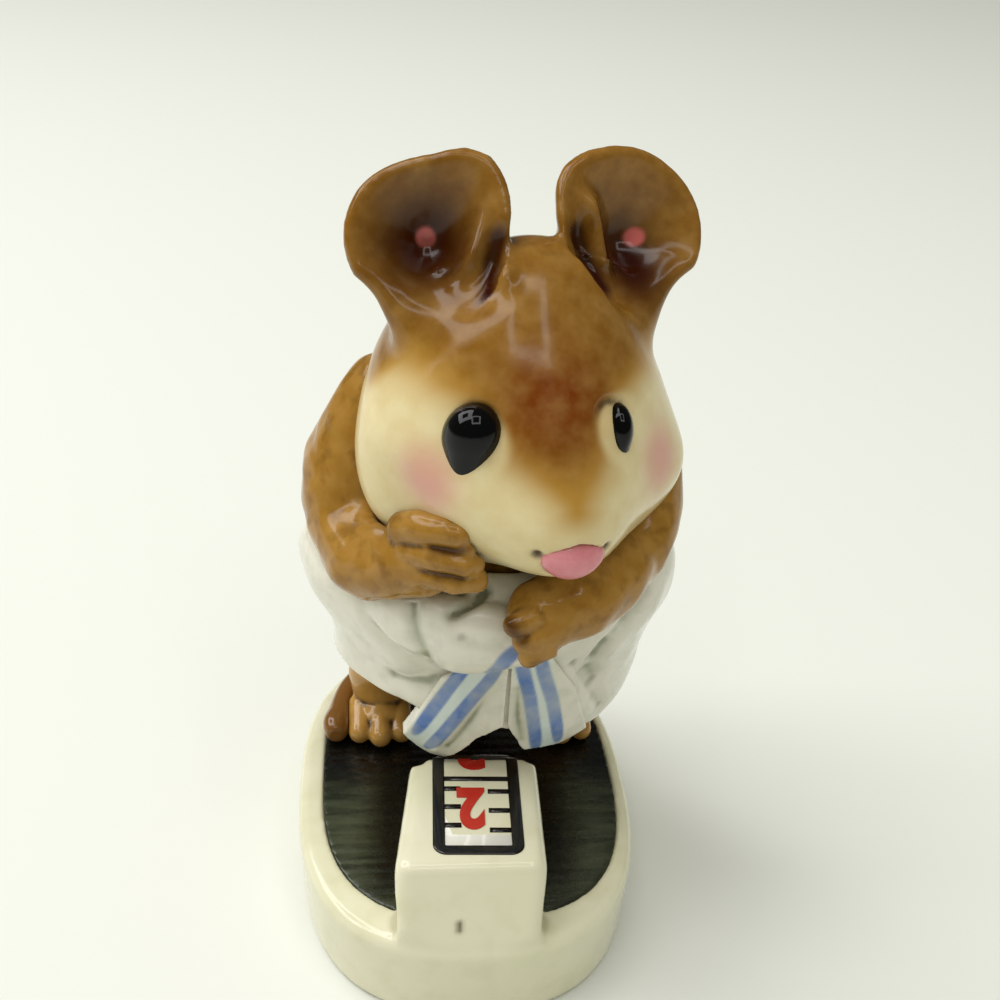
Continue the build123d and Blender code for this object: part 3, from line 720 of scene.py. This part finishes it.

# Hanging ends: two stripes down each, with the teal between them, and a dent under the hem darkened with
# painted shade
STRIPES = {
    "right": (((2.2, -10.0, 26.6), (0.7, -8.3, 22.9), (-1.1, -7.5, 19.5), (-3.9, -5.8, 13.9)),
              ((-0.9, -8.6, 24.6), (-2.6, -7.2, 20.6), (-5.4, -6.0, 14.6))),
    "left": (((2.6, -9.0, 26.6), (3.1, -8.7, 24.6), (4.0, -7.8, 20.9), (5.1, -6.5, 14.4)),
             ((4.3, -8.5, 25.6), (4.7, -8.3, 23.9), (5.7, -7.3, 20.5), (7.1, -5.8, 13.8))),
}
UNDER_HEM = {
    "right": ((1.2, -8.8, 22.6), (-0.2, -7.6, 19.0), (-1.9, -6.4, 15.4)),
    "left": ((3.0, -8.4, 22.0), (3.2, -7.6, 19.0), (3.6, -6.8, 16.6)),
}
for side_name, (inner, outer) in STRIPES.items():
    end = moulded("end_" + side_name, blank("towel_end_" + side_name), grain=0.14, softening=4)
    places = spots(end)
    near_inner, near_outer = from_line(places, inner), from_line(places, outer)
    wash(end, "stripe", 1 - eased(np.minimum(near_inner, near_outer), 0.42, 0.62))
    ridge(end, UNDER_HEM[side_name], height=-0.3, width=0.35)
    # Painted shade in the dent under the hem
    wash(end, "painted_towel_shade", 0.5 * near_line(spots(end), UNDER_HEM[side_name], 0.6))
    wash(end, "teal", 0.8 * (1 - eased(near_inner + near_outer, 2.4, 3.1)))
    finished(end, towel_glaze, "stripe_glaze", "towel_end_" + side_name)

# Body: the nape is drawn up into the head, by rows of angle, height and radius round the neck
CORE_SHRINK = 0.3
NAPE_AXIS = (1.4, 2.5)
NAPE = (
    (350, 35.3, 9.2), (360, 36.2, 8.7), (380, 38.1, 7.3), (400, 39.1, 5.7), (420, 39.5, 4.7),
    (440, 40.1, 4.2), (460, 40.2, 4.1), (480, 40.2, 4.1), (500, 40.1, 4.5), (520, 39.5, 5.7),
    (540, 39.1, 6.7), (560, 37.7, 8.1))
trunk = blank("torso")
coil(trunk, around(NAPE_AXIS, NAPE), radii=(1.4, 1.4), count=70)
core = moulded("core", trunk, grain=0.3, softening=6)
shifted(core, outward(core) * -CORE_SHRINK)
kneaded(core, size=3.0, depth=0.2)
wash(core, "worn", 1.0)
wash(core, "brown", 1.0)
finished(core, fur_glaze, "fur_glaze", "torso")

# Arms: coils of clay, each a line with its radii. The sleeves run from under the cheeks to the paws, and the
# right paw has three fingers. The dark lines are painted shade: they part the fingers and lie in the bend of
# the elbow
ARMS = {
    "right": (
        (((-6.6, 1.0, 41.5), (-8.4, 0.6, 37.4), (-9.3, -1.2, 32.8)), (3.0, 3.4, 3.1)),
        (((-9.3, -1.4, 32.6), (-8.0, -5.2, 31.6), (-5.4, -8.2, 33.2)), (3.0, 2.8, 2.3)),
        (((-5.4, -8.9, 36.2), (-3.7, -10.5, 37.2), (-2.1, -11.5, 37.3)), (1.2, 1.15, 0.95)),
        (((-5.2, -9.6, 34.9), (-3.3, -11.3, 35.4), (-1.6, -11.9, 35.3)), (1.0, 0.9, 0.8)),
        (((-5.0, -10.0, 33.4), (-3.4, -11.1, 33.7), (-2.2, -11.5, 33.5)), (0.9, 0.85, 0.75)),
    ),
    "left": (
        (((11.6, 0.0, 38.5), (12.0, -2.2, 34.6), (11.2, -4.6, 32.2)), (2.8, 2.9, 2.6)),
        (((11.2, -4.6, 32.4), (8.6, -7.6, 31.8), (5.6, -9.8, 30.6)), (2.6, 2.0, 1.8)),
    ),
}
ARM_SHADES = {
    "right": (
        (0.35, ((-3.7, -11.6, 36.4), (-1.8, -12.3, 36.5))),
        (0.32, ((-3.8, -11.7, 34.6), (-2.0, -12.2, 34.5))),
        (1.1, ((-6.4, -8.2, 36.6), (-8.6, -5.4, 36.6))),
    ),
    "left": (
        (0.6, ((1.5, -12.5, 31.0), (2.3, -12.9, 29.9))),
        (0.5, ((3.2, -12.2, 28.0), (5.6, -11.6, 27.9))),
    ),
}
LEFT_FIST = (4.1, -10.3, 30.3)
for side_name, coils in ARMS.items():
    clay = blank("arm_" + side_name)
    for line, radii in coils:
        coil(clay, line, radii)
    if side_name == "left":
        ball(clay, LEFT_FIST, radii=(2.6, 2.3, 2.45))
    arm = moulded("arm_" + side_name + "_clay", clay, grain=0.18, softening=4)
    kneaded(arm, size=2.0, depth=0.2)
    wash(arm, "gold", 1.0)
    wash(arm, "brown", 0.6)
    wash(arm, "worn", 1.0)
    # Painted shade along the lines that part the fingers, in the bend of the elbow and round the fist
    wash(arm, "dots_and_painted_shade", 0.8 * brushed(spots(arm), ARM_SHADES[side_name]))
    finished(arm, fur_glaze, "fur_glaze", "arm_" + side_name)

# Feet: the tops of the legs draw in under the cloth, between two heights and by a share of their radius
LEG_AXIS = np.array([1.2, 3.0, 0.0])
for side_name, low, high, share in (("right", 11.0, 17.0, 0.3), ("left", 9.5, 14.5, 0.33)):
    foot = moulded("foot_" + side_name + "_clay", blank("foot_" + side_name), grain=0.16, softening=3)
    places = spots(foot)
    inward = (LEG_AXIS - places) * np.array([1, 1, 0])
    shifted(foot, inward * (share * eased(places[:, 2], low, high))[:, None])
    finished(foot, paw_glaze, "paw_glaze", "foot_" + side_name)
tail = moulded("tail_clay", blank("tail"), grain=0.18, softening=4)
wash(tail, "dark", 0.8)
finished(tail, paw_glaze, "paw_glaze", "tail")

# Ears: the cups flare to thin rolled rims, and a fold of the rim runs down into each cup beside a crevice.
# Rims are rows of angle and radius, folds and crevices are lines of places (across, up)
EAR_RIMS = {
    RIGHT: (
        (9, 5.3), (24, 5.7), (39, 6.3), (55, 6.8), (69, 6.5), (87, 5.6), (99, 5.4), (113, 5.35), (147, 5.55),
        (180, 5.45), (211, 5.25), (226, 5.2), (240, 5.5), (300, 5.7)),
    LEFT: (
        (11, 5.8), (51, 5.85), (68, 6.0), (85, 6.1), (100, 6.2), (116, 6.45), (130, 6.55), (141, 6.3),
        (154, 5.8), (170, 5.55), (240, 5.7), (279, 5.4), (301, 5.05), (321, 5.3), (338, 5.6)),
}
EAR_FOLDS = {
    RIGHT: ((4.5, 4.6), (4.4, 2.9), (3.8, 0.9), (3.1, -0.8), (2.8, -2.3), (2.65, -4.0), (2.4, -4.9)),
    LEFT: ((-4.5, 4.4), (-3.7, 3.5), (-2.7, 2.3), (-2.2, 0.9), (-2.1, -0.2), (-2.3, -1.8), (-2.6, -3.5)),
}
EAR_CREVICES = {
    RIGHT: ((4.7, 0.4), (4.3, -1.3), (4.2, -2.4), (4.1, -3.6)),
    LEFT: ((-3.8, 0.6), (-3.5, -1.1), (-3.0, -2.3), (-2.6, -3.3)),
}
# The hollow of each cup, darkened with painted shade, with its middle and radii, and the pink dot in it
EAR_HOLLOWS = {RIGHT: ((-0.2, -0.1), (3.5, 3.7)), LEFT: ((0.3, -1.7), (2.5, 3.5))}
EAR_DOTS = {RIGHT: (-0.19, 0.46), LEFT: (1.37, 0.05)}

# Head, in its own frame: a ball of clay under each eye seat (place and outward way) carries the eye
MUZZLE_TIP = on_head(-0.2, 0.0, 11.8)
EYE_SEATS = (((-5.4, 3.4, 6.4), (-0.58, 0.66, 0.49)), ((3.0, 4.6, 7.4), (0.42, 0.72, 0.55)))
EYE_SEAT_DEPTH = 3.15
EYE_SEAT_RADIUS = 4.0
NOSTRILS = (on_head(-2.49, 0.23, 13.35), on_head(2.2, 0.57, 13.49))
# Swellings of the cheeks, the muzzle and the crown: place, width and push
HEAD_PUSHES = (
    ((-10.4, -2.7, 6.3), 3.2, (1.3, 0.3, 0.0)),
    ((-4.5, -3.4, 10.0), 3.0, (0.0, 0.7, 0.0)),
    ((8.6, -0.8, 6.4), 3.3, (0.8, -0.2, 0.0)),
    ((0.1, 8.8, -4.7), 3.6, (0.0, 1.1, 0.0)),
)
clay = blank("head", "ear_right", "ear_left")
ball(clay, MUZZLE_TIP, radii=(1.95, 1.95, 1.95))
for seat, way in EYE_SEATS:
    under = [spot - EYE_SEAT_DEPTH * reach for spot, reach in zip(seat, way)]
    ball(clay, on_head(*under), radii=(EYE_SEAT_RADIUS, EYE_SEAT_RADIUS, EYE_SEAT_RADIUS))
for hand in (RIGHT, LEFT):
    lip = ear_line(hand, [(hand * 2.2, -4.7), (0.0, -5.8), (-hand * 2.4, -5.6)], -1.3)
    coil(clay, lip, radii=(1.2, 1.6, 1.5))
    coil(clay, [on_head(hand * 5.6, 6.6, -2.6), on_head(hand * 3.4, 8.2, -2.2)], radii=(2.4, 2.0))
head = moulded("head_clay", clay, grain=0.24, softening=4)
local = in_head(spots(head))
for spot, width, push in HEAD_PUSHES:
    weight = np.exp(-(np.linalg.norm(local - np.array(spot), axis=1) / width) ** 2)
    shifted(head, weight[:, None] * (np.array(push) @ HEAD_AXES))
for hand in (RIGHT, LEFT):
    ear_shaped(head, hand, EAR_RIMS[hand], EAR_DEPTH)
head = remoulded(head, grain=0.2, softening=4)

# The roots of the ears run smoothly into the head, then folds, crevices and lips are drawn into the cups
for hand in (RIGHT, LEFT):
    places = spots(head)
    local, front = ear_mouth(places, outward(head), hand)
    root = ear_line(hand, [(hand * 2.6, -5.4), (0.0, -6.6), (-hand * 2.8, -6.0)], -1.6)
    near = 1 - eased(from_line(places, root), 1.4, 3.4)
    softened(head, near * (1 - front * (np.hypot(local[:, 0], local[:, 1]) < 4.6)), rounds=90)
for hand in (RIGHT, LEFT):
    local, front = ear_mouth(spots(head), outward(head), hand)
    fold_rise = ear_near(local, EAR_FOLDS[hand], 0.75)
    crevice_drop = ear_near(local, EAR_CREVICES[hand], 0.6)
    lip_rise = ear_near(local, [(hand * 2.6, -2.2), (hand * 1.4, -3.8), (-hand * 0.6, -4.6)], 0.8)
    rise = (0.35 * lip_rise + 1.6 * fold_rise * eased(-local[:, 2], 0.2, 1.6) - 0.9 * crevice_drop) * front
    shifted(head, ear_frame(hand)[1][2] * rise[:, None])
    softened(head, front, rounds=8)
    hem = ear_line(hand, EAR_CREVICES[hand], -1.2)
    softened(head, 1 - eased(from_line(spots(head), hem), 0.8, 2.0), rounds=14)
    lower_lip = ear_line(
        hand, [(hand * 2.2, -4.4), (0.0, -5.0), (-hand * 2.6, -4.9), (-hand * 3.6, -4.2)], -0.6)
    softened(head, 1 - eased(from_line(spots(head), lower_lip), 1.4, 3.2), rounds=90)
for nostril in NOSTRILS:
    ridge(head, [nostril, nostril], height=-0.35, width=0.4)

# Fur: the brown cap narrows along the muzzle and leaves bare rings round the eyes. Its half width by the
# place between nape and nose, and the line of its middle
CAP_REACH = ((-9, -3, 0, 3, 5, 7, 9, 10.5, 12), (20, 12, 8.3, 6.4, 4.4, 3.1, 2.2, 1.2, 0.0))
CAP_MIDDLE = ((0, 7, 12), (0, -0.9, -0.3))
EYE_RINGS = ((-6.0, 3.6, 6.9), (3.9, 4.8, 7.4))
CHEEKS = ((-8.6, 0.5, 7.2), (7.6, 1.6, 7.6))
places, normals = spots(head), outward(head)
side, crown, face = in_head(places).T
inset = np.interp(face, *CAP_REACH) - np.abs(side - np.interp(face, *CAP_MIDDLE))
upper = np.maximum(eased(crown, -1.5, 1.0), eased(-face, 2, 5))
bare = np.ones(len(places))
for eye_side, eye_crown, eye_face in EYE_RINGS:
    away = np.sqrt((side - eye_side) ** 2 + (crown - eye_crown) ** 2 + (face - eye_face) ** 2)
    bare *= eased(away, 2.0, 3.0)
brown = eased(inset, -1.2, 1.6) * upper * eased(12.6 - face, 0, 4.0)
gold = eased(inset + 1.6, -1.2, 1.8) * upper * eased(14.0 - face, 0, 1.8)
wash(head, "brown", brown * bare)
wash(head, "gold", gold * (0.35 + 0.65 * bare))
wash(head, "worn", 0.7 * brown * eased(-face, -4, 2))
between_eyes = np.exp(-(((side + 1.1) / 3.8) ** 2 + ((face - 6.4) / 2.9) ** 2))
wash(head, "rust", between_eyes * eased(crown, 2, 5) * bare)
blush = np.zeros(len(places))
for cheek_side, cheek_crown, cheek_face in CHEEKS:
    away = np.sqrt((side - cheek_side) ** 2 + (crown - cheek_crown) ** 2 + (face - cheek_face) ** 2)
    blush += 0.85 * np.exp(-(away / 2.4) ** 3)
wash(head, "blush", blush)
# Nostril dots painted dark, then painted shade in the ear hollows and along their crevices
dots_and_painted_shade = sum(np.exp(-(np.linalg.norm(places - np.array(nostril), axis=1) / 0.42) ** 4) for nostril in NOSTRILS)
pink = np.zeros(len(places))
for hand in (RIGHT, LEFT):
    local, front = ear_mouth(places, normals, hand)
    hollow, radii = EAR_HOLLOWS[hand]
    away = np.hypot((local[:, 0] - hollow[0]) / radii[0], (local[:, 1] - hollow[1]) / radii[1])
    shadow = np.maximum(np.exp(-away ** 3.0), ear_near(local, EAR_CREVICES[hand], 0.8))
    dots_and_painted_shade = np.maximum(dots_and_painted_shade, shadow * (front > 0.02) * (local[:, 2] < 0.6))
    dot = 1 - eased(np.hypot(*(local[:, :2] - EAR_DOTS[hand]).T), 0.45, 0.8)
    pink = np.maximum(pink, dot * (front > 0.02))
wash(head, "dots_and_painted_shade", dots_and_painted_shade)
wash(head, "pink", pink)
finished(head, fur_glaze, "fur_glaze", "head", "ear_right", "ear_left")

# Eyes and nose, shaped in the head's frame. Eyes: push and stretch
EYES = {"right": ((-0.4, -0.6, 0.1), (1.1, 1.37, 1.1)), "left": ((0.75, -0.95, -0.1), (0.6, 1.12, 1.0))}
for side_name, (push, stretch) in EYES.items():
    eye = moulded("eye_" + side_name + "_bead", blank("eye_" + side_name), grain=0.12, softening=3)
    places = spots(eye)
    local = in_head(places) - in_head(places.mean(0))
    moved = local * np.array(stretch) + np.array(push) - local
    shifted(eye, moved @ HEAD_AXES)
    finished(eye, eye_glaze, "eye_glaze", "eye_" + side_name)

# The nose is broadest at its top, as a rounded triangle
NOSE_WIDTH = 1.12
NOSE_FLARE = 0.2
NOSE_UPPER = 0.85
NOSE_LOWER = 0.82
NOSE_FORWARD = 0.12
nose = moulded("nose_button", blank("nose"), grain=0.12, softening=4)
places = spots(nose)
local = in_head(places) - in_head(places.mean(0))
rise = local[:, 1] / np.abs(local[:, 1]).max()
stretch = np.column_stack([
    NOSE_WIDTH + NOSE_FLARE * rise, np.where(rise > 0, NOSE_UPPER, NOSE_LOWER), np.ones(len(rise))])
grown = local * stretch + np.array([0.0, 0.0, NOSE_FORWARD])
shifted(nose, (grown - local) @ HEAD_AXES)
finished(nose, nose_glaze, "nose_glaze", "nose")

# Floor of matt white paper
floor_mesh = bpy.data.meshes.new("floor")
floor_mesh.from_pydata([(-3, -3, 0), (3, -3, 0), (3, 3, 0), (-3, 3, 0)], [], [(0, 1, 2, 3)])
floor = linked("floor", floor_mesh)
paper = bpy.data.materials.new("matt_paper")
paper.use_nodes = True
paper_skin = paper.node_tree.nodes["Principled BSDF"]
paper_skin.inputs["Base Color"].default_value = glaze_colour("#E0E1DA")
paper_skin.inputs["Roughness"].default_value = 0.9
floor_mesh.materials.append(paper)
floor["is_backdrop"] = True

# Pale room, whose walls the glaze mirrors much darker than they light it
WALL_LIGHT = 0.62
WALL_MIRRORED = 0.12
world = bpy.data.worlds.new("room")
bpy.context.scene.world = world
world.use_nodes = True
world.node_tree.nodes.clear()
mirrored = node(world.node_tree, "ShaderNodeLightPath").outputs["Is Glossy Ray"]
glow = ramped(world.node_tree, mirrored, 0.0, 1.0, WALL_LIGHT, WALL_MIRRORED)
back = node(world.node_tree, "ShaderNodeBackground", {"Color": glaze_colour("#E6E8DE"), "Strength": glow})
node(world.node_tree, "ShaderNodeOutputWorld", {"Surface": back.outputs[0]})


def soft_box(name, place, aim, size, watts):
    """Large soft lamp at a place in metres, turned to its aim."""
    lamp = bpy.data.lights.new(name, "AREA")
    lamp.shape = "RECTANGLE"
    lamp.size, lamp.size_y = size
    lamp.energy = watts
    stand = linked(name, lamp)
    stand.location = place
    stand.rotation_mode = "QUATERNION"
    stand.rotation_quaternion = (Vector(aim) - Vector(place)).to_track_quat("-Z", "Y")


def soft_frame(name, place, aim, width, bar, watts):
    """Square of four lamp bars, which the glaze mirrors as an outline."""
    turned = (Vector(aim) - Vector(place)).to_track_quat("-Z", "Y")
    reach = (width - bar) / 2
    between = width - 2 * bar
    bars = (
        (0, reach, width, bar), (0, -reach, width, bar), (reach, 0, bar, between), (-reach, 0, bar, between))
    whole_length = 4 * (width - bar)
    for number, (across, along, wide, high) in enumerate(bars):
        middle = Vector(place) + turned @ Vector((across, along, 0))
        ahead = middle + turned @ Vector((0, 0, -1))
        soft_box(f"{name}_{number}", middle, ahead, (wide, high), watts * max(wide, high) / whole_length)


CHEST = (0, 0, 0.03)
soft_frame("window", (-0.32, 0.1, 0.48), CHEST, width=0.48, bar=0.15, watts=2.8)
soft_frame("panel", (0.0, -0.22, 0.53), CHEST, width=0.36, bar=0.06, watts=0.9)

# Camera: its place, its level axes and a small roll
VIEW_MIDDLE = Vector((-7.812, -88.009, 83.513)) * MILLIMETRE
VIEW_RIGHT = Vector((0.99407683, -0.10867964, 0))
VIEW_UP = Vector((0.05358468, 0.4901312, 0.87000005))
VIEW_BACK = Vector((-0.0945513, -0.86484689, 0.49305163))
VIEW_ROLL = radians(3.085)
lens = bpy.data.cameras.new("camera")
lens.sensor_width = 36.0
lens.lens = 49.82
lens.clip_start = 0.005
camera = linked("camera", lens)
rolled_right = VIEW_RIGHT * cos(VIEW_ROLL) + VIEW_UP * sin(VIEW_ROLL)
rolled_up = VIEW_UP * cos(VIEW_ROLL) - VIEW_RIGHT * sin(VIEW_ROLL)
turned = Matrix((rolled_right, rolled_up, VIEW_BACK)).transposed().to_4x4()
camera.matrix_world = Matrix.Translation(VIEW_MIDDLE) @ turned
bpy.context.scene.camera = camera
bpy.context.scene.view_settings.view_transform = "Standard"

low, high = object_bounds()
